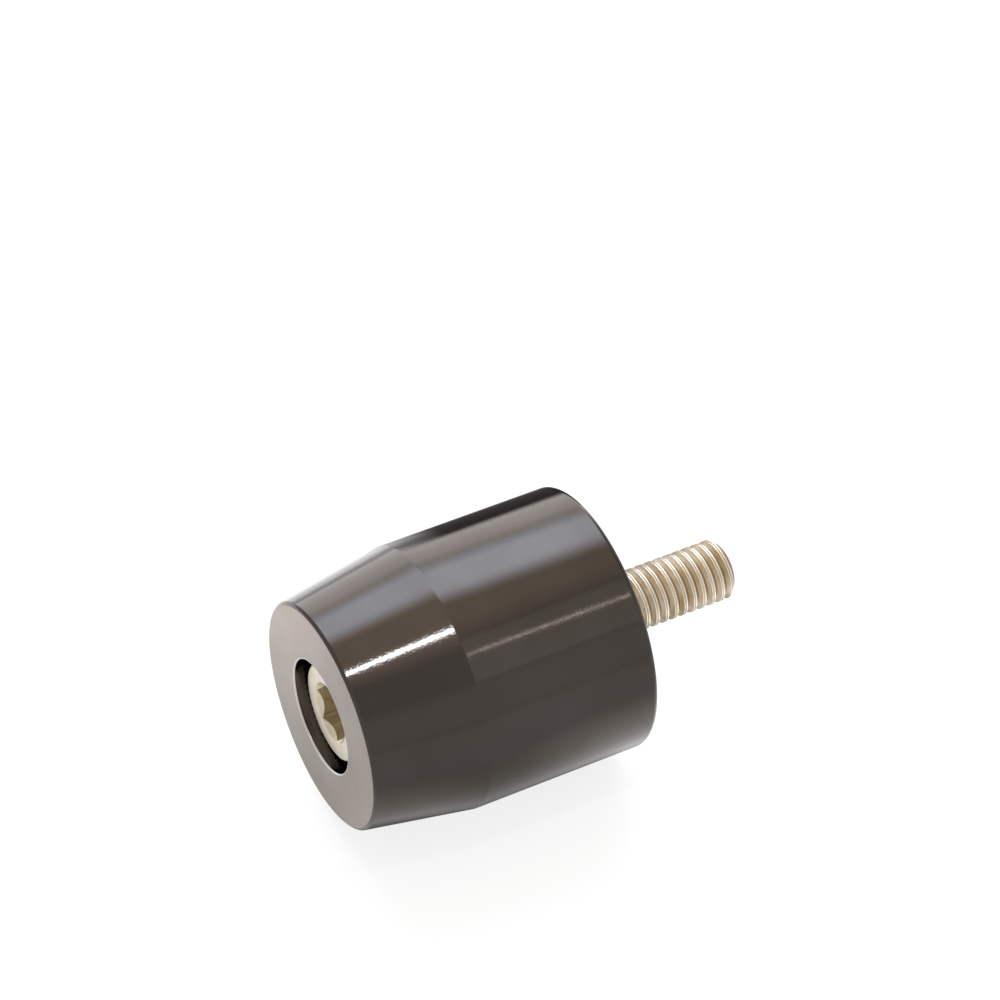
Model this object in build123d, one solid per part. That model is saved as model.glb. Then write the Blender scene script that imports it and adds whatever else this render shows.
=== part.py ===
from build123d import *
import os
from math import radians, sqrt, tan

# Bar end weight: a turned aluminium weight, and the socket head screw that fastens it in a handlebar's end.
# Sizes are in millimetres. The origin is the centre of the seat face, which meets the end of the bar.
# +X runs along the common axis from the seat into the bar, and +Z is up.

# Weight, a cylinder with a tapered nose
body_diameter = 25.5
body_length = 28.0
nose_diameter = 21.9  # of the taper at the outer face, before its edge is broken
nose_length = 10.7  # of the taper, from the outer face to the ridge
nose_chamfer = 0.3
seat_edge_radius = 0.6
mouth_chamfer = 0.15  # broken edge of the counterbore
outlet_chamfer = 0.2  # broken edge of the through hole at the seat

# Screw, M6 x 35 with a hexagon socket
thread_diameter = 6.0
thread_pitch = 1.0
thread_depth = 0.65
thread_angle = 60.0  # degrees between the flanks
thread_length = 14.0  # cut from the tip to the seat; further in, the hole hides a plain shank
thread_turn = 210.0  # degrees about the axis, as the screw was left
screw_length = 35.0  # under the head
tip_chamfer = 0.65
head_diameter = 10.0
head_height = 6.0
head_chamfer = 0.45  # top edge
head_foot_chamfer = 0.2  # bottom edge
neck_chamfer = 0.25  # between the head and the shank
socket_width = 5.0  # across the flats
socket_depth = 3.0
socket_point_depth = 0.7  # of the shallow cone at the bottom of the socket
socket_rim = 0.08  # from the socket's corners to the edge of its countersink
socket_turn = 8.0  # degrees about the axis, as the screw was left

# How the screw sits in the weight
head_recess = 1.0  # from the outer face down to the top of the head
head_clearance = 0.5  # all round the head
thread_clearance = 0.3  # all round the thread

# Places along the axis
seat = 0.0
outer_face = seat - body_length
ridge = outer_face + nose_length
head_top = outer_face + head_recess
head_seat = head_top + head_height
tip = head_seat + screw_length

# Radii about the axis
body_radius = body_diameter / 2
nose_radius = nose_diameter / 2
thread_radius = thread_diameter / 2
head_radius = head_diameter / 2
hole_radius = thread_radius + thread_clearance
counterbore_radius = head_radius + head_clearance
socket_corner_radius = socket_width / sqrt(3)
socket_rim_radius = socket_corner_radius + socket_rim


def corner(section, x, radius):
    # The corner of a half section that lies nearest to this place
    return section.vertices().sort_by_distance((x, radius))[0]


def weight_body():
    # Half section with the counterbore and the through hole, turned about the axis
    section = make_face(
        Polyline(
            (outer_face, counterbore_radius),
            (outer_face, nose_radius),
            (ridge, body_radius),
            (seat, body_radius),
            (seat, hole_radius),
            (head_seat, hole_radius),
            (head_seat, counterbore_radius),
            close=True,
        )
    )
    section = chamfer(corner(section, outer_face, nose_radius), nose_chamfer)
    section = fillet(corner(section, seat, body_radius), seat_edge_radius)
    section = chamfer(corner(section, outer_face, counterbore_radius), mouth_chamfer)
    section = chamfer(corner(section, seat, hole_radius), outlet_chamfer)
    # The hole's inner edge is broken to clear the neck under the screw's head
    section = chamfer(corner(section, head_seat, hole_radius), neck_chamfer)
    return revolve(section, Axis.X)


def socket():
    # Hexagon with a shallow point, and a countersink of 90 degrees whose cone runs out on the flats
    mouth = Plane(origin=(head_top, 0, 0), x_dir=(0, 1, 0), z_dir=(1, 0, 0))
    hexagon = mouth * Rot(0, 0, socket_turn) * RegularPolygon(socket_corner_radius, 6)
    recess = extrude(hexagon, socket_depth)
    point_radius = socket_width / 2
    point_base = head_top + socket_depth
    point = make_face(
        Polyline(
            (point_base, 0),
            (point_base, point_radius),
            (point_base + socket_point_depth, 0),
            close=True,
        )
    )
    countersink = make_face(
        Polyline(
            (head_top, 0),
            (head_top, socket_rim_radius),
            (head_top + socket_rim_radius, 0),
            close=True,
        )
    )
    return recess + revolve(point, Axis.X) + revolve(countersink, Axis.X)


def thread_groove():
    # V groove swept along a right-hand helix, one edge of its path to a turn, and run out past the tip
    turns = round(thread_length / thread_pitch)
    start = tip - turns * thread_pitch
    first_turn = Plane(origin=(start, 0, 0), x_dir=(0, 1, 0), z_dir=(1, 0, 0)) * Helix(
        thread_pitch, thread_pitch, thread_radius
    )
    path = Wire([Pos(turn * thread_pitch, 0, 0) * first_turn.edge() for turn in range(turns + 1)])
    overshoot = thread_pitch / 10  # of the groove's profile past the crests
    half_width = (thread_depth + overshoot) * tan(radians(thread_angle / 2))
    profile = make_face(
        Polyline(
            (start, thread_radius - thread_depth),
            (start + half_width, thread_radius + overshoot),
            (start - half_width, thread_radius + overshoot),
            close=True,
        )
    )
    return Rot(thread_turn, 0, 0) * sweep(profile, path=path, is_frenet=True)


def cap_screw():
    section = make_face(
        Polyline(
            (head_top, 0),
            (head_top, head_radius),
            (head_seat, head_radius),
            (head_seat, thread_radius),
            (tip, thread_radius),
            (tip, 0),
            close=True,
        )
    )
    section = chamfer(corner(section, head_top, head_radius), head_chamfer)
    section = chamfer(corner(section, head_seat, head_radius), head_foot_chamfer)
    section = chamfer(corner(section, head_seat, thread_radius), neck_chamfer)
    section = chamfer(corner(section, tip, thread_radius), tip_chamfer)
    return revolve(section, Axis.X) - socket() - thread_groove()


pieces = {"weight_body": weight_body(), "cap_screw": cap_screw()}

os.makedirs("parts", exist_ok=True)
for name, piece in pieces.items():
    export_step(piece, os.path.join("parts", name + ".step"))
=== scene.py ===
import bmesh
import bpy
from math import atan2, cos, hypot, pi, radians, sin, sqrt
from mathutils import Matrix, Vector


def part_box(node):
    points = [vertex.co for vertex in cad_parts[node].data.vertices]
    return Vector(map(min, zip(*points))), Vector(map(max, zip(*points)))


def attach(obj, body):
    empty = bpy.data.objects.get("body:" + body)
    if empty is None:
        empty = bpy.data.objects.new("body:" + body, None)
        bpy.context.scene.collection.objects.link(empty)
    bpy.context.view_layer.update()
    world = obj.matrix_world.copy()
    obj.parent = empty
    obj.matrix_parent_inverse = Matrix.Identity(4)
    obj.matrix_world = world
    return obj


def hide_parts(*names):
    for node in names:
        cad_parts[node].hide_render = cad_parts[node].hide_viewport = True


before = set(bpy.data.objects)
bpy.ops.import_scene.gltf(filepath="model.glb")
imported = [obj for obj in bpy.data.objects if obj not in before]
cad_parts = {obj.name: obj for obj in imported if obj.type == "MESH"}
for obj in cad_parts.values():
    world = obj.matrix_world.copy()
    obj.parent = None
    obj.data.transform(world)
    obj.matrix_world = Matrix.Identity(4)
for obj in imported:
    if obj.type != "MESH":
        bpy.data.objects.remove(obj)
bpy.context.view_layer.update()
mm = 0.001
hair = 0.0002 * mm  # a cut this close to a vertex goes through it
weld = 0.0005 * mm  # vertices closer than this become one
near = 0.005 * mm  # what is closer than this to a ring or a plane lies on it
crosswise = 0.99  # a face with this much of its normal along x lies across the axis
bodyLow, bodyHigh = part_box("weight_body")
screwLow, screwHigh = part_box("cap_screw")
print("frame loaded, weight from", bodyLow.x / mm, "to", bodyHigh.x / mm, "mm along x")


# Hand tools for the modelling

def takeUp(piece):
    # this piece alone is selected and active
    bpy.ops.object.select_all(action="DESELECT")
    piece.select_set(True)
    bpy.context.view_layer.objects.active = piece


def settle(name):
    # the new primitive gets its name, and its place goes into its mesh
    piece = bpy.context.object
    piece.name = name
    bpy.ops.object.transform_apply(location=True, rotation=True, scale=True)
    return piece


def addRod(name, sides, radius, fromX, toX):
    # a capped cylinder lying along x
    bpy.ops.object.select_all(action="DESELECT")
    bpy.ops.mesh.primitive_cylinder_add(
        vertices=sides, radius=radius, depth=toX - fromX, end_fill_type="NGON",
        location=((fromX + toX) / 2, 0, 0), rotation=(0, pi / 2, 0))
    return settle(name)


def addPoint(name, sides, radius, fromX, toX):
    # a cone lying along x, its base at fromX and its point at toX
    bpy.ops.object.select_all(action="DESELECT")
    bpy.ops.mesh.primitive_cone_add(
        vertices=sides, radius1=radius, radius2=0, depth=toX - fromX,
        location=((fromX + toX) / 2, 0, 0), rotation=(0, pi / 2, 0))
    return settle(name)


def pickVerts(test):
    # in edit mode: select the vertices whose place passes the test, and what lies between them
    bpy.ops.mesh.select_all(action="DESELECT")
    mesh = bmesh.from_edit_mesh(bpy.context.object.data)
    for vert in mesh.verts:
        vert.select = bool(test(vert.co))
    mesh.select_flush(True)
    bmesh.update_edit_mesh(bpy.context.object.data)


def pickRing(x, radius):
    pickVerts(lambda co: abs(co.x - x) < near and abs(hypot(co.y, co.z) - radius) < near)


def sizeRing(x, radius, newRadius):
    pickRing(x, radius)
    share = newRadius / radius
    bpy.ops.transform.resize(value=(1, share, share), center_override=(x, 0, 0))


def cutRing(x):
    bpy.ops.mesh.select_all(action="SELECT")
    bpy.ops.mesh.bisect(plane_co=(x, 0, 0), plane_no=(1, 0, 0), threshold=hair)


def bevelRing(x, radius, width, steps, profile=0.5):
    # a profile of 0.5 is round and one of 0.25 is a flat chamfer
    pickRing(x, radius)
    bpy.ops.mesh.bevel(
        offset=width, offset_type="OFFSET", segments=steps, profile=profile, affect="EDGES")


def carve(piece, cutter, operation):
    # one applied boolean, after which the cutter is gone
    takeUp(piece)
    bpy.ops.object.modifier_add(type="BOOLEAN")
    cut = piece.modifiers[-1]
    cut.operation = operation
    cut.solver = "EXACT"
    cut.object = cutter
    bpy.ops.object.modifier_apply(modifier=cut.name)
    bpy.data.objects.remove(cutter)


def finishMesh(piece, sharpAngle):
    # welded, with its faces outwards, and smooth between its sharp edges
    takeUp(piece)
    bpy.ops.object.mode_set(mode="EDIT")
    bpy.ops.mesh.select_all(action="SELECT")
    bpy.ops.mesh.remove_doubles(threshold=weld)
    bpy.ops.mesh.normals_make_consistent(inside=False)
    bpy.ops.object.mode_set(mode="OBJECT")
    bpy.ops.object.shade_smooth_by_angle(angle=radians(sharpAngle))
    bpy.ops.object.modifier_add(type="WEIGHTED_NORMAL")
    flatten = piece.modifiers[-1]
    flatten.keep_sharp = True
    bpy.ops.object.modifier_apply(modifier=flatten.name)


# Turned weight

weightSet = {
    "sides": 288,
    "noseRadius": 10.95 * mm,
    "noseLength": 10.7 * mm,
    "noseEdge": 0.3 * mm,
    "noseProfile": 0.34,  # of that edge, between a flat chamfer and a round
    "seatEdge": 0.6 * mm,
    "ridgeSoft": 0.07 * mm,  # what the tool's tip leaves of the ridge
    "boreRadius": 5.5 * mm,
    "boreDepth": 7.0 * mm,
    "mouthEdge": 0.15 * mm,
    "holeRadius": 3.3 * mm,
    "outletEdge": 0.2 * mm,
    "neckEdge": 0.25 * mm,
    "sharpAngle": 32,  # degrees
}


def modelWeight(s):
    outer, seat, radius = bodyLow.x, bodyHigh.x, bodyHigh.z
    ridge = outer + s["noseLength"]
    boreFloor = outer + s["boreDepth"]
    weight = addRod("turnedWeight", s["sides"], radius, outer, seat)
    bpy.ops.object.mode_set(mode="EDIT")
    cutRing(ridge)
    sizeRing(outer, radius, s["noseRadius"])

    # counterbore and hole from the outer face, hole from the seat, and the wall between them
    pickRing(outer, s["noseRadius"])
    bpy.ops.mesh.inset(thickness=s["noseRadius"] - s["boreRadius"])
    bpy.ops.mesh.extrude_region_move(TRANSFORM_OT_translate={"value": (s["boreDepth"], 0, 0)})
    bpy.ops.mesh.inset(thickness=s["boreRadius"] - s["holeRadius"])
    pickRing(seat, radius)
    bpy.ops.mesh.inset(thickness=radius - s["holeRadius"])
    pickVerts(lambda co: abs(hypot(co.y, co.z) - s["holeRadius"]) < near)
    bpy.ops.mesh.bridge_edge_loops()

    # rounded and broken edges
    bevelRing(outer, s["noseRadius"], s["noseEdge"], steps=5, profile=s["noseProfile"])
    bevelRing(seat, radius, s["seatEdge"], steps=10)
    bevelRing(ridge, radius, s["ridgeSoft"], steps=3)
    bevelRing(outer, s["boreRadius"], s["mouthEdge"], steps=3)
    bevelRing(seat, s["holeRadius"], s["outletEdge"], steps=3)
    bevelRing(boreFloor, s["holeRadius"], s["neckEdge"], steps=3)
    bpy.ops.object.mode_set(mode="OBJECT")
    finishMesh(weight, s["sharpAngle"])
    return weight


# Cap screw

screwSet = {
    "ridges": 60,  # of the knurl round the head
    "ridgeDepth": 0.13 * mm,
    "headHeight": 6.0 * mm,
    "headChamfer": 0.45 * mm,
    "footChamfer": 0.2 * mm,
    "shankRadius": 3.0 * mm,
    "neckRound": 0.25 * mm,
    "threadLength": 24.0 * mm,
    "threadOverlap": 1.0 * mm,  # of the thread's core inside the plain shank
    "runOut": 0.45 * mm,
    "socketWidth": 5.0 * mm,
    "socketDepth": 3.0 * mm,
    "socketPoint": 0.7 * mm,
    "socketRim": 0.08 * mm,
    "socketTurn": 8.0,  # degrees
    "pointSides": 96,
    "sinkSides": 192,
    "cutterAbove": 0.5 * mm,  # of the socket's cutters past the head's top
    "cutterOverlap": 0.02 * mm,
    "sharpAngle": 24,  # degrees
}

threadSet = {
    "pitch": 1.0 * mm,
    "crestRadius": 2.93 * mm,
    "rootRadius": 2.38 * mm,
    "lipWidths": (0.115 * mm, 0.075 * mm),  # past the seam and before it
    "rootHalf": 0.08 * mm,
    "seamHalf": 0.085 * mm,  # where the rolled crest closed between its lips
    "seamDepth": 0.09 * mm,
    "lipRound": 0.02 * mm,
    "rootRound": 0.07 * mm,
    "steps": 72,  # to a turn
    "spareTurns": 2,  # past each end, cut off again
    "startShift": 0.167 * mm,  # where the crests lie along the axis
    "tipChamfer": 0.65 * mm,
    "tipSlack": 0.01 * mm,  # a face this close to the end or its chamfer belongs to it
    "tipTrim": 0.001 * mm,  # off the end, so that no two end faces lie in one plane
    "blankSpare": 0.2 * mm,  # of the turned blank past the crests
}


def modelThread(s, fromX, toX):
    # one pitch of the profile is drawn point by point from a seam, then screwed along x
    startX = fromX - s["spareTurns"] * s["pitch"] + s["startShift"]
    bpy.ops.object.select_all(action="DESELECT")
    bpy.ops.mesh.primitive_plane_add(
        size=s["pitch"], location=(startX, 0, s["crestRadius"] - s["seamDepth"]))
    thread = settle("rolledThread")
    bpy.ops.object.mode_set(mode="EDIT")
    bpy.ops.mesh.select_all(action="SELECT")
    bpy.ops.mesh.merge(type="CENTER")  # the plane only gives the first point
    depth = s["crestRadius"] - s["rootRadius"]
    flank = (s["pitch"] - sum(s["lipWidths"])) / 2 - s["seamHalf"] - s["rootHalf"]
    moves = [
        (s["seamHalf"], s["seamDepth"]),
        (s["lipWidths"][0], 0),
        (flank, -depth),
        (2 * s["rootHalf"], 0),
        (flank, depth),
        (s["lipWidths"][1], 0),
        (s["seamHalf"], -s["seamDepth"]),
    ]
    for along, up in moves:
        bpy.ops.mesh.extrude_vertices_move(TRANSFORM_OT_translate={"value": (along, 0, up)})
    pickVerts(lambda co: abs(co.z - s["crestRadius"]) < near)
    bpy.ops.mesh.bevel(offset=s["lipRound"], segments=2, affect="VERTICES")
    pickVerts(lambda co: abs(co.z - s["rootRadius"]) < near)
    bpy.ops.mesh.bevel(offset=s["rootRound"], segments=3, affect="VERTICES")
    bpy.ops.object.mode_set(mode="OBJECT")

    bpy.ops.object.modifier_add(type="SCREW")
    winding = thread.modifiers[-1]
    winding.axis = "X"
    winding.angle = 2 * pi
    winding.screw_offset = s["pitch"]
    winding.iterations = int((toX - fromX) / s["pitch"]) + 2 * s["spareTurns"]
    winding.steps = s["steps"]
    winding.render_steps = s["steps"]
    bpy.ops.object.modifier_apply(modifier=winding.name)
    bpy.ops.object.mode_set(mode="EDIT")
    bpy.ops.mesh.select_all(action="SELECT")
    bpy.ops.mesh.remove_doubles(threshold=weld)
    for x, side in ((fromX, 1), (toX, -1)):
        bpy.ops.mesh.select_all(action="SELECT")
        bpy.ops.mesh.bisect(
            plane_co=(x, 0, 0), plane_no=(side, 0, 0),
            use_fill=True, clear_inner=True, threshold=hair)
    bpy.ops.mesh.select_all(action="SELECT")
    bpy.ops.mesh.normals_make_consistent(inside=False)
    bpy.ops.object.mode_set(mode="OBJECT")

    # the point: the thread runs out on a chamfered end
    blankRadius = s["crestRadius"] + s["blankSpare"]
    endX = toX - s["tipTrim"]
    blank = addRod("threadBlank", 2 * s["steps"], blankRadius, fromX - s["pitch"], endX)
    bpy.ops.object.mode_set(mode="EDIT")
    bevelRing(endX, blankRadius, s["tipChamfer"] + s["blankSpare"], steps=1)
    bpy.ops.object.mode_set(mode="OBJECT")
    carve(thread, blank, "INTERSECT")
    return thread


def modelScrew(s):
    top, tip, headRadius = screwLow.x, screwHigh.x, screwHigh.z
    headSeat = top + s["headHeight"]
    screw = addRod("socketScrew", 2 * s["ridges"], headRadius, top, headSeat)
    bpy.ops.object.mode_set(mode="EDIT")
    cutRing(top + s["headChamfer"])
    cutRing(headSeat - s["footChamfer"])
    sizeRing(top, headRadius, headRadius - s["headChamfer"])
    sizeRing(headSeat, headRadius, headRadius - s["footChamfer"])

    # every second line of the side goes in, and runs out along the chamfers at both ends
    step = pi / s["ridges"]
    share = (headRadius - s["ridgeDepth"]) / headRadius
    for x, shift in ((top + s["headChamfer"], -1), (headSeat - s["footChamfer"], 1)):
        pickVerts(lambda co: abs(co.x - x) < near and round(atan2(co.z, co.y) / step) % 2)
        bpy.ops.transform.resize(value=(1, share, share), center_override=(x, 0, 0))
        bpy.ops.transform.translate(value=(shift * s["ridgeDepth"], 0, 0))

    # plain shank
    foot = headRadius - s["footChamfer"]
    shankEnd = tip - s["threadLength"]
    pickRing(headSeat, foot)
    bpy.ops.mesh.inset(thickness=foot - s["shankRadius"])
    bpy.ops.mesh.extrude_region_move(TRANSFORM_OT_translate={"value": (shankEnd - headSeat, 0, 0)})
    bevelRing(headSeat, s["shankRadius"], s["neckRound"], steps=4)
    bevelRing(shankEnd, s["shankRadius"], s["runOut"], steps=1)
    bpy.ops.object.mode_set(mode="OBJECT")

    # hexagon socket, its shallow point, and the countersink that runs out on the flats
    corner = s["socketWidth"] / sqrt(3)
    rim = corner + s["socketRim"]
    above = top - s["cutterAbove"]
    socketEnd = top + s["socketDepth"]
    hexagon = addRod("hexagonCutter", 6, corner, above, socketEnd)
    bpy.ops.object.mode_set(mode="EDIT")
    bpy.ops.mesh.select_all(action="SELECT")
    bpy.ops.transform.rotate(
        value=-radians(s["socketTurn"]), orient_axis="X", center_override=(top, 0, 0))
    bpy.ops.object.mode_set(mode="OBJECT")
    carve(screw, hexagon, "DIFFERENCE")
    point = addPoint("pointCutter", s["pointSides"], s["socketWidth"] / 2,
                     socketEnd - s["cutterOverlap"], socketEnd + s["socketPoint"])
    carve(screw, point, "DIFFERENCE")
    sink = addPoint("sinkCutter", s["sinkSides"], rim + s["cutterAbove"], above, top + rim)
    carve(screw, sink, "DIFFERENCE")
    carve(screw, modelThread(threadSet, shankEnd - s["threadOverlap"], tip), "UNION")
    finishMesh(screw, s["sharpAngle"])
    return screw


# Hand tools for the shaders

vectorMath = "ShaderNodeVectorMath"
noiseSpan = (0.3, 0.7)  # a noise texture hardly leaves this range


def addMath(nodes, operation, second=None, kind="ShaderNodeMath"):
    math = nodes.new(kind)
    math.operation = operation
    if second is not None:
        math.inputs[1].default_value = second
    return math


def addRange(nodes, fromSpan, toSpan=(0, 1), blend="LINEAR"):
    ramp = nodes.new("ShaderNodeMapRange")
    ramp.interpolation_type = blend
    sockets = ("From Min", "From Max", "To Min", "To Max")
    for socket, value in zip(sockets, (*fromSpan, *toSpan)):
        ramp.inputs[socket].default_value = value
    return ramp


def addColourMix(nodes, second, first=(0, 0, 0)):
    mix = nodes.new("ShaderNodeMix")
    mix.data_type = "RGBA"
    mix.inputs["A"].default_value = (*first, 1)
    mix.inputs["B"].default_value = (*second, 1)
    return mix


def addReach(nodes, link, place):
    # the distance from the x axis
    across = addMath(nodes, "MULTIPLY", (0, 1, 1), vectorMath)
    reach = addMath(nodes, "LENGTH", kind=vectorMath)
    link(place.outputs["Object"], across.inputs[0])
    link(across.outputs["Vector"], reach.inputs[0])
    return reach


# Shader effects that the finishes draw on

latheSet = {
    "detail": 3,
    "unevenness": 0.65,
    "wanderSize": 260,
    "wanderDetail": 1,
    "wander": 0.04 * mm,  # how far a line strays
}

broachSet = {
    "stretch": (0.05, 1, 1),  # long along x
    "detail": 2,
}

grainSet = {
    "pitDetail": 2,
    "pitSpan": (0.42, 0.7),
    "cloudDetail": 3,
}


def newGroup(name, inputs, outputs):
    group = bpy.data.node_groups.new(name, "ShaderNodeTree")
    for socket in inputs:
        group.interface.new_socket(name=socket, in_out="INPUT", socket_type="NodeSocketFloat")
    for socket in outputs:
        group.interface.new_socket(name=socket, in_out="OUTPUT", socket_type="NodeSocketFloat")
    return group, group.nodes.new("NodeGroupInput"), group.nodes.new("NodeGroupOutput")


def makeLatheMarks(s):
    # uneven lines round the x axis: x plus the radius changes along every turned surface
    group, given, made = newGroup("latheMarks", ["Fineness"], ["Mark"])
    nodes = group.nodes
    link = group.links.new
    place = nodes.new("ShaderNodeTexCoord")
    parts = nodes.new("ShaderNodeSeparateXYZ")
    reach = addReach(nodes, link, place)
    along = addMath(nodes, "ADD")
    blur = nodes.new("ShaderNodeTexNoise")
    blur.inputs["Scale"].default_value = s["wanderSize"]
    blur.inputs["Detail"].default_value = s["wanderDetail"]
    drift = addMath(nodes, "MULTIPLY_ADD", s["wander"])
    lines = nodes.new("ShaderNodeTexNoise")
    lines.noise_dimensions = "1D"
    lines.inputs["Detail"].default_value = s["detail"]
    lines.inputs["Roughness"].default_value = s["unevenness"]
    link(place.outputs["Object"], parts.inputs["Vector"])
    link(parts.outputs["X"], along.inputs[0])
    link(reach.outputs["Value"], along.inputs[1])
    link(place.outputs["Object"], blur.inputs["Vector"])
    link(blur.outputs["Fac"], drift.inputs[0])
    link(along.outputs["Value"], drift.inputs[2])
    link(drift.outputs["Value"], lines.inputs["W"])
    link(given.outputs["Fineness"], lines.inputs["Scale"])
    link(lines.outputs["Fac"], made.inputs["Mark"])
    return group


def makeBroachMarks(s):
    # scratches along the x axis, as the tool left them in the socket
    group, given, made = newGroup("broachMarks", ["Fineness"], ["Mark"])
    link = group.links.new
    place = group.nodes.new("ShaderNodeTexCoord")
    stretch = addMath(group.nodes, "MULTIPLY", s["stretch"], vectorMath)
    lines = group.nodes.new("ShaderNodeTexNoise")
    lines.inputs["Detail"].default_value = s["detail"]
    link(place.outputs["Object"], stretch.inputs[0])
    link(stretch.outputs["Vector"], lines.inputs["Vector"])
    link(given.outputs["Fineness"], lines.inputs["Scale"])
    link(lines.outputs["Fac"], made.inputs["Mark"])
    return group


def makeMicroGrain(s):
    # fine pits of the oxide or of the tumbled steel, with broad clouds for tone
    group, given, made = newGroup("microGrain", ["Fineness", "Cloud Size"], ["Grain", "Cloud"])
    link = group.links.new
    place = group.nodes.new("ShaderNodeTexCoord")
    pits = group.nodes.new("ShaderNodeTexNoise")
    pits.inputs["Detail"].default_value = s["pitDetail"]
    peaks = addRange(group.nodes, s["pitSpan"], blend="SMOOTHSTEP")
    clouds = group.nodes.new("ShaderNodeTexNoise")
    clouds.inputs["Detail"].default_value = s["cloudDetail"]
    link(place.outputs["Object"], pits.inputs["Vector"])
    link(place.outputs["Object"], clouds.inputs["Vector"])
    link(given.outputs["Fineness"], pits.inputs["Scale"])
    link(given.outputs["Cloud Size"], clouds.inputs["Scale"])
    link(pits.outputs["Fac"], peaks.inputs["Value"])
    link(peaks.outputs["Result"], made.inputs["Grain"])
    link(clouds.outputs["Fac"], made.inputs["Cloud"])
    return group


# Finishes

anodisedSet = {
    "dark": (0.082, 0.069, 0.061),
    "light": (0.096, 0.083, 0.075),
    "roughness": (0.06, 0.1),
    "markFineness": 9000,
    "markHeight": 0.1,
    "grainFineness": 6000,
    "cloudSize": 120,
    "bumpDepth": 0.0013 * mm,
}

facedSet = {
    "dark": (0.315, 0.266, 0.226),
    "light": (0.38, 0.325, 0.28),
    "roughness": (0.3, 0.38),
    "markFineness": 9000,
    "markHeight": 0.5,
    "grainFineness": 8000,
    "cloudSize": 150,
    "bumpDepth": 0.003 * mm,
}

edgeSet = {
    "dark": (0.6, 0.56, 0.52),
    "light": (0.72, 0.69, 0.65),
    "roughness": (0.25, 0.32),
    "markFineness": 9000,
    "markHeight": 0.3,
    "grainFineness": 8000,
    "cloudSize": 150,
    "bumpDepth": 0.002 * mm,
}

headSet = {
    "dark": (0.82, 0.74, 0.61),
    "light": (0.92, 0.87, 0.78),
    "roughness": (0.44, 0.56),
    "markFineness": 5000,
    "markHeight": 0.3,
    "grainFineness": 5000,
    "cloudSize": 700,
    "bumpDepth": 0.006 * mm,
}

socketSet = {
    "dark": (0.66, 0.57, 0.4),
    "light": (0.8, 0.72, 0.55),
    "roughness": (0.2, 0.5),
    "markFineness": 4000,
    "markHeight": 1.5,
    "grainFineness": 5000,
    "cloudSize": 700,
    "bumpDepth": 0.012 * mm,
}

rolledSet = {
    "dark": (0.68, 0.55, 0.35),
    "light": (0.97, 0.9, 0.81),
    "roughness": (0.68, 0.78),
    "markFineness": 3000,
    "markHeight": 0.1,
    "grainFineness": 5000,
    "cloudSize": 420,
    "bumpDepth": 0.006 * mm,
}

crestAndRootSet = {
    # the crests' lighter tint is a painted highlight
    "crestHighlightTint": (1.0, 0.92, 0.78),
    "crestRoughness": 0.4,
    "crestSpan": (0.035 * mm, 0.01 * mm),  # below the crest: the burnish and the painted highlight start, and are full
    # the roots' darker tint is painted shade
    "rootShadeTint": (0.4, 0.32, 0.22),
    "rootShadeSpan": (0.07 * mm, 0.02 * mm),  # above the root: the painted shade starts, and is full
}


def makeFinish(name, s, toolMarks, microGrain):
    material = bpy.data.materials.new(name)
    material.use_nodes = True
    nodes = material.node_tree.nodes
    link = material.node_tree.links.new
    metal = nodes["Principled BSDF"]
    metal.inputs["Metallic"].default_value = 1.0
    marks = nodes.new("ShaderNodeGroup")
    marks.node_tree = toolMarks
    marks.inputs["Fineness"].default_value = s["markFineness"]
    grain = nodes.new("ShaderNodeGroup")
    grain.node_tree = microGrain
    grain.inputs["Fineness"].default_value = s["grainFineness"]
    grain.inputs["Cloud Size"].default_value = s["cloudSize"]
    spread = addRange(nodes, noiseSpan)
    tone = addColourMix(nodes, s["light"], s["dark"])
    tone.name = "tone"
    gloss = addRange(nodes, noiseSpan, s["roughness"])
    gloss.name = "gloss"
    relief = addMath(nodes, "MULTIPLY_ADD", s["markHeight"])
    bump = nodes.new("ShaderNodeBump")
    bump.inputs["Strength"].default_value = 1.0
    bump.inputs["Distance"].default_value = s["bumpDepth"]
    link(grain.outputs["Cloud"], spread.inputs["Value"])
    link(spread.outputs["Result"], tone.inputs["Factor"])
    link(tone.outputs["Result"], metal.inputs["Base Color"])
    link(marks.outputs["Mark"], gloss.inputs["Value"])
    link(gloss.outputs["Result"], metal.inputs["Roughness"])
    link(marks.outputs["Mark"], relief.inputs[0])
    link(grain.outputs["Grain"], relief.inputs[2])
    link(relief.outputs["Value"], bump.inputs["Height"])
    link(bump.outputs["Normal"], metal.inputs["Normal"])
    return material


def paintCrestsAndRoots(material, s):
    # rolling leaves the thread's crests smoother than its flanks, a painted highlight makes them
    # brighter, and the roots keep a dark line of painted shade
    nodes = material.node_tree.nodes
    link = material.node_tree.links.new
    metal = nodes["Principled BSDF"]
    reach = addReach(nodes, link, nodes.new("ShaderNodeTexCoord"))
    crest = addRange(nodes, [threadSet["crestRadius"] - below for below in s["crestSpan"]])
    root = addRange(nodes, [threadSet["rootRadius"] + above for above in s["rootShadeSpan"]])
    # painted shade: a darker tint in the roots
    rootShade = addColourMix(nodes, s["rootShadeTint"])
    # painted highlight: a lighter tint on the crests
    crestHighlight = addColourMix(nodes, s["crestHighlightTint"])
    polish = nodes.new("ShaderNodeMix")
    polish.inputs["B"].default_value = s["crestRoughness"]
    link(reach.outputs["Value"], crest.inputs["Value"])
    link(reach.outputs["Value"], root.inputs["Value"])
    link(root.outputs["Result"], rootShade.inputs["Factor"])
    link(nodes["tone"].outputs["Result"], rootShade.inputs["A"])
    link(crest.outputs["Result"], crestHighlight.inputs["Factor"])
    link(rootShade.outputs["Result"], crestHighlight.inputs["A"])
    link(crestHighlight.outputs["Result"], metal.inputs["Base Color"])
    link(crest.outputs["Result"], polish.inputs["Factor"])
    link(nodes["gloss"].outputs["Result"], polish.inputs["A"])
    link(polish.outputs["Result"], metal.inputs["Roughness"])


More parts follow.
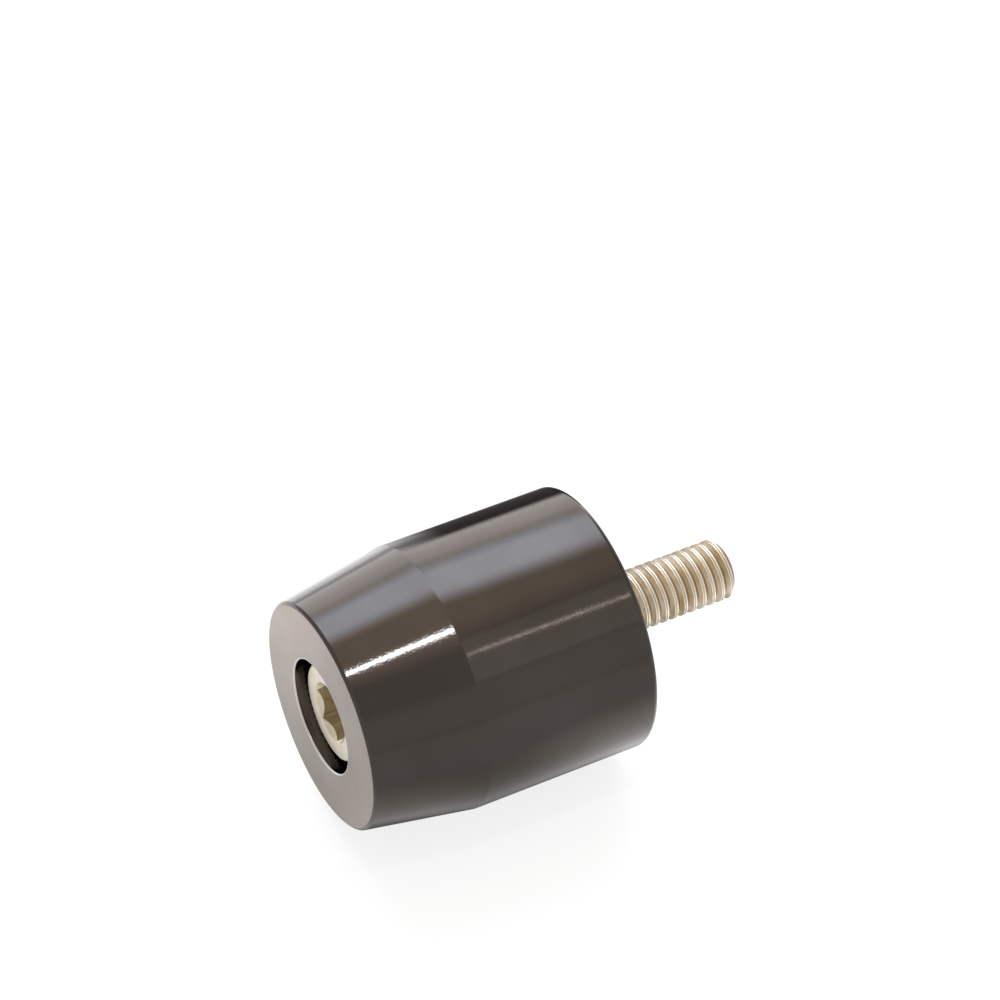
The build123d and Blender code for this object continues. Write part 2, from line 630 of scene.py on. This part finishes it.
def dressWeight(weight, side, face, edge):
    # the side's finish all over, then the faced outer end and the counterbore's bare broken edge
    for finish in (side, face, edge):
        weight.data.materials.append(finish)
    mouth = weightSet["boreRadius"] + weightSet["mouthEdge"]
    for polygon in weight.data.polygons:
        reach = hypot(polygon.center.y, polygon.center.z)
        depth = polygon.center.x - bodyLow.x
        if polygon.normal.x < -crosswise and depth < near:
            polygon.material_index = 1
        elif reach < mouth and depth < weightSet["mouthEdge"]:
            polygon.material_index = 2


def dressScrew(screw, head, rolled, broached):
    # the head's finish all over, then the thread, and the socket's walls and countersink
    for finish in (head, rolled, broached):
        screw.data.materials.append(finish)
    tip = screwHigh.x
    threadStart = tip - screwSet["threadLength"]
    # x plus radius is the same all over the point's chamfer
    pointSum = tip + threadSet["crestRadius"] - threadSet["tipChamfer"]
    socketEnd = screwLow.x + screwSet["socketDepth"]
    socketReach = screwSet["socketWidth"] / sqrt(3) + screwSet["socketRim"]
    for polygon in screw.data.polygons:
        along = polygon.center.x
        reach = hypot(polygon.center.y, polygon.center.z)
        lengthwise = abs(polygon.normal.x) < crosswise
        if along > threadStart:
            onEnd = along > tip - threadSet["tipSlack"]
            onChamfer = abs(along + reach - pointSum) < threadSet["tipSlack"]
            polygon.material_index = 0 if onEnd or onChamfer else 1
        elif lengthwise and reach < socketReach and along < socketEnd:
            polygon.material_index = 2


# Studio

cameraSet = {
    "aim": (-0.075 * mm, 17.993 * mm, 0),
    "azimuth": 27.943,  # degrees from +y towards +x, of the way it looks
    "elevation": 42.55,  # degrees that it looks down
    "distance": 403.52 * mm,
    "lens": 152.27,  # lens and sensor in millimetres
    "sensor": 36,
    "clip": 10 * mm,  # it sees nothing nearer
}


def lookAlong(azimuth, elevation):
    turn, rise = radians(azimuth), radians(elevation)
    return Vector((sin(turn) * cos(rise), cos(turn) * cos(rise), sin(rise)))


def placeCamera(s):
    look = lookAlong(s["azimuth"], -s["elevation"])
    bpy.ops.object.camera_add(location=Vector(s["aim"]) - look * s["distance"])
    camera = bpy.context.object
    camera.name = "photoCamera"
    camera.rotation_euler = look.to_track_quat("-Z", "Y").to_euler()
    camera.data.lens = s["lens"]
    camera.data.sensor_width = s["sensor"]
    camera.data.clip_start = s["clip"]
    bpy.context.scene.camera = camera


panels = [
    # name, azimuth, elevation, width, height, glow, tint, soft share of its edges
    ("backPanel", 20, 12, 1.0, 0.8, 1.7, (0.97, 0.98, 1.0), 0.6),
    ("topPanel", 21, 53, 0.9, 0.62, 3.5, (0.68, 0.81, 1.0), 0.72),
    ("sidePanel", 150, 45, 0.36, 0.4, 0.25, (0.97, 1.0, 0.97), 0.05),
    ("noseStrip", 189, 76, 0.13, 0.034, 46, (0.76, 0.9, 1.0), 0.3),
    ("sideStrip", 148.75, 49.2, 0.14, 0.034, 4.3, (1.0, 1.0, 0.95), 1.0),
]
panelDistance = 0.7
axisPanel = "sideStrip"  # lies along the weight's axis, where the others face its seat


def softenEdges(lamp, share):
    # the panel's glow falls away towards its edges, half its width or height from its middle
    half = 0.5
    lamp.use_nodes = True
    nodes = lamp.node_tree.nodes
    link = lamp.node_tree.links.new
    place = nodes.new("ShaderNodeNewGeometry")
    parts = nodes.new("ShaderNodeSeparateXYZ")
    both = addMath(nodes, "MULTIPLY")
    link(place.outputs["Parametric"], parts.inputs["Vector"])
    for number, axis in enumerate("XY"):
        middle = addMath(nodes, "SUBTRACT", half)
        away = addMath(nodes, "ABSOLUTE")
        fade = addRange(nodes, (half * (1 - share), half), (1, 0), "SMOOTHSTEP")
        link(parts.outputs[axis], middle.inputs[0])
        link(middle.outputs["Value"], away.inputs[0])
        link(away.outputs["Value"], fade.inputs["Value"])
        link(fade.outputs["Result"], both.inputs[number])
    link(both.outputs["Value"], nodes["Emission"].inputs["Strength"])


def placePanels():
    for name, azimuth, elevation, width, height, glow, tint, soft in panels:
        toward = lookAlong(azimuth, elevation)
        bpy.ops.object.light_add(type="AREA", location=toward * panelDistance)
        lamp = bpy.context.object
        lamp.name = name
        if name == axisPanel:
            toward.x = 0
        lamp.rotation_euler = (-toward).to_track_quat("-Z", "Y").to_euler()
        lamp.data.shape = "RECTANGLE"
        lamp.data.size = width
        lamp.data.size_y = height
        lamp.data.energy = glow * pi * width * height
        lamp.data.color = tint
        softenEdges(lamp.data, soft)


roomStops = [
    # share of the way up, colour
    (0.40, (0.70, 0.69, 0.68)),
    (0.55, (0.55, 0.54, 0.52)),
    (0.86, (0.55, 0.53, 0.5)),
    (0.96, (1.05, 0.93, 0.8)),
]


def lightWorld():
    # a pale room with a warmer ceiling
    world = bpy.data.worlds.new("paleRoom")
    bpy.context.scene.world = world
    world.use_nodes = True
    nodes = world.node_tree.nodes
    link = world.node_tree.links.new
    place = nodes.new("ShaderNodeTexCoord")
    parts = nodes.new("ShaderNodeSeparateXYZ")
    ramp = nodes.new("ShaderNodeValToRGB")
    stops = ramp.color_ramp.elements
    stops.remove(stops[1])
    for number, (rise, tint) in enumerate(roomStops):
        stop = stops.new(rise) if number else stops[0]
        stop.position = rise
        stop.color = (*tint, 1)
    link(place.outputs["Generated"], parts.inputs["Vector"])
    link(parts.outputs["Z"], ramp.inputs["Fac"])
    link(ramp.outputs["Color"], nodes["Background"].inputs["Color"])


floorSet = {
    "size": 6,  # metres
    "paper": (0.62, 0.62, 0.62),
    "sheen": 0.5,
    "roughness": 0.45,
    "paperSeen": (0.25, 0.25, 0.25),  # the camera sees a fainter shadow
    "liftSeen": 0.82,
    "liftMirrored": 0.12,
    "contact": (6 * mm, 10.5 * mm),  # under the weight the floor lies in its shade
    "contactEnd": 1.5 * mm,  # how softly that shade ends at the outer face
    "pools": [  # brighter patches: middle, inner and outer reach, glow
        ((7 * mm, -10 * mm, 0), 3 * mm, 25 * mm, 0.8),
        ((-27 * mm, -9 * mm, 0), 3 * mm, 21 * mm, 0.42),
        ((-45 * mm, 85 * mm, 0), 45 * mm, 88 * mm, 0.77),
    ],
}


def layFloor(s):
    bpy.ops.mesh.primitive_plane_add(size=s["size"], location=(0, 0, bodyLow.z))
    floor = bpy.context.object
    floor.name = "paleFloor"
    material = bpy.data.materials.new("whiteSweep")
    material.use_nodes = True
    nodes = material.node_tree.nodes
    link = material.node_tree.links.new
    paper = nodes["Principled BSDF"]
    paper.inputs["Roughness"].default_value = s["roughness"]
    paper.inputs["Specular IOR Level"].default_value = s["sheen"]
    paper.inputs["Emission Color"].default_value = (1, 1, 1, 1)
    rays = nodes.new("ShaderNodeLightPath")
    tone = addColourMix(nodes, s["paperSeen"], s["paper"])
    link(rays.outputs["Is Camera Ray"], tone.inputs["Factor"])
    link(tone.outputs["Result"], paper.inputs["Base Color"])

    # clear of the weight's shade: to the sides of it, or past its outer face
    place = nodes.new("ShaderNodeTexCoord")
    parts = nodes.new("ShaderNodeSeparateXYZ")
    aside = addMath(nodes, "ABSOLUTE")
    shade = addRange(nodes, s["contact"], blend="SMOOTHSTEP")
    pastSpan = (bodyLow.x + s["contactEnd"], bodyLow.x - s["contactEnd"])
    past = addRange(nodes, pastSpan, blend="SMOOTHSTEP")
    clear = addMath(nodes, "MAXIMUM")
    link(place.outputs["Object"], parts.inputs["Vector"])
    link(parts.outputs["Y"], aside.inputs[0])
    link(aside.outputs["Value"], shade.inputs["Value"])
    link(parts.outputs["X"], past.inputs["Value"])
    link(shade.outputs["Result"], clear.inputs[0])
    link(past.outputs["Result"], clear.inputs[1])

    # each pool adds to the one before it, and the first to the floor's even glow
    glow = None
    for middle, inner, outer, strength in s["pools"]:
        away = addMath(nodes, "DISTANCE", middle, vectorMath)
        pool = addRange(nodes, (inner, outer), (strength, 0), "SMOOTHSTEP")
        total = addMath(nodes, "ADD", s["liftMirrored"])
        link(place.outputs["Object"], away.inputs[0])
        link(away.outputs["Value"], pool.inputs["Value"])
        link(pool.outputs["Result"], total.inputs[0])
        if glow:
            link(glow.outputs["Value"], total.inputs[1])
        glow = total

    # that glow shows in reflections only, and to the camera the paper has an even lift
    mirrored = addMath(nodes, "MAXIMUM")
    unshaded = addMath(nodes, "MULTIPLY")
    mirrorLift = addMath(nodes, "MULTIPLY")
    lift = addMath(nodes, "MULTIPLY_ADD", s["liftSeen"])
    link(rays.outputs["Is Glossy Ray"], mirrored.inputs[0])
    link(rays.outputs["Is Transmission Ray"], mirrored.inputs[1])
    link(mirrored.outputs["Value"], unshaded.inputs[0])
    link(clear.outputs["Value"], unshaded.inputs[1])
    link(unshaded.outputs["Value"], mirrorLift.inputs[0])
    link(glow.outputs["Value"], mirrorLift.inputs[1])
    link(rays.outputs["Is Camera Ray"], lift.inputs[0])
    link(mirrorLift.outputs["Value"], lift.inputs[2])
    link(lift.outputs["Value"], paper.inputs["Emission Strength"])
    floor.data.materials.append(material)


flagSet = {
    "low": (-11 * mm, 34 * mm),  # x and y of its faded end
    "length": 40 * mm,
    "top": 16 * mm,
    "endFade": 8.5 * mm,
    "topFade": 4 * mm,
    "footFade": 6 * mm,
    "cover": 0.98,
    "tone": (0.16, 0.138, 0.124),
}


def placeFlag(s):
    # a dark card behind the weight, seen only as a reflection, that draws the cylinder's upper edge
    endX, y = s["low"]
    foot = bodyLow.z
    height = s["top"] - foot
    middle = (endX + s["length"] / 2, y, foot + height / 2)
    bpy.ops.mesh.primitive_plane_add(size=1, location=middle, rotation=(pi / 2, 0, 0))
    bpy.context.object.scale = (s["length"], height, 1)
    flag = settle("darkFlag")
    material = bpy.data.materials.new("blackVelvet")
    material.use_nodes = True
    nodes = material.node_tree.nodes
    link = material.node_tree.links.new
    velvet = nodes["Principled BSDF"]
    velvet.inputs["Base Color"].default_value = (*s["tone"], 1)
    velvet.inputs["Roughness"].default_value = 1.0
    velvet.inputs["Specular IOR Level"].default_value = 0.0
    place = nodes.new("ShaderNodeTexCoord")
    parts = nodes.new("ShaderNodeSeparateXYZ")
    endFade = addRange(nodes, (endX, endX + s["endFade"]))
    topFade = addRange(nodes, (s["top"], s["top"] - s["topFade"]), (0, s["cover"]))
    footFade = addRange(nodes, (foot - s["footFade"] / 2, foot + s["footFade"]))
    upright = addMath(nodes, "MULTIPLY")
    both = addMath(nodes, "MULTIPLY")
    link(place.outputs["Object"], parts.inputs["Vector"])
    link(parts.outputs["X"], endFade.inputs["Value"])
    link(parts.outputs["Z"], topFade.inputs["Value"])
    link(parts.outputs["Z"], footFade.inputs["Value"])
    link(topFade.outputs["Result"], upright.inputs[0])
    link(footFade.outputs["Result"], upright.inputs[1])
    link(endFade.outputs["Result"], both.inputs[0])
    link(upright.outputs["Value"], both.inputs[1])
    link(both.outputs["Value"], velvet.inputs["Alpha"])
    flag.data.materials.append(material)
    flag.visible_camera = False
    flag.visible_diffuse = False
    flag.visible_shadow = False


bpy.context.scene.view_settings.view_transform = "Standard"
weight = modelWeight(weightSet)
print("weight modelled,", len(weight.data.polygons), "faces")
screw = modelScrew(screwSet)
print("screw modelled,", len(screw.data.polygons), "faces")
latheMarks = makeLatheMarks(latheSet)
broachMarks = makeBroachMarks(broachSet)
microGrain = makeMicroGrain(grainSet)
anodised = makeFinish("gunmetalAnodised", anodisedSet, latheMarks, microGrain)
faced = makeFinish("facedEnd", facedSet, latheMarks, microGrain)
bareEdge = makeFinish("bareEdge", edgeSet, latheMarks, microGrain)
dressWeight(weight, anodised, faced, bareEdge)
bright = makeFinish("brightSteel", headSet, latheMarks, microGrain)
rolled = makeFinish("rolledSteel", rolledSet, latheMarks, microGrain)
paintCrestsAndRoots(rolled, crestAndRootSet)
broached = makeFinish("broachedSocket", socketSet, broachMarks, microGrain)
dressScrew(screw, bright, rolled, broached)
print("finishes made")
rides = ((weight, "weight_body", "anodised_weight"), (screw, "cap_screw", "screw_steel"))
for piece, node, slotName in rides:
    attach(piece, "root")
    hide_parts(node)
placeCamera(cameraSet)
placePanels()
lightWorld()
layFloor(floorSet)
placeFlag(flagSet)
print("studio set")
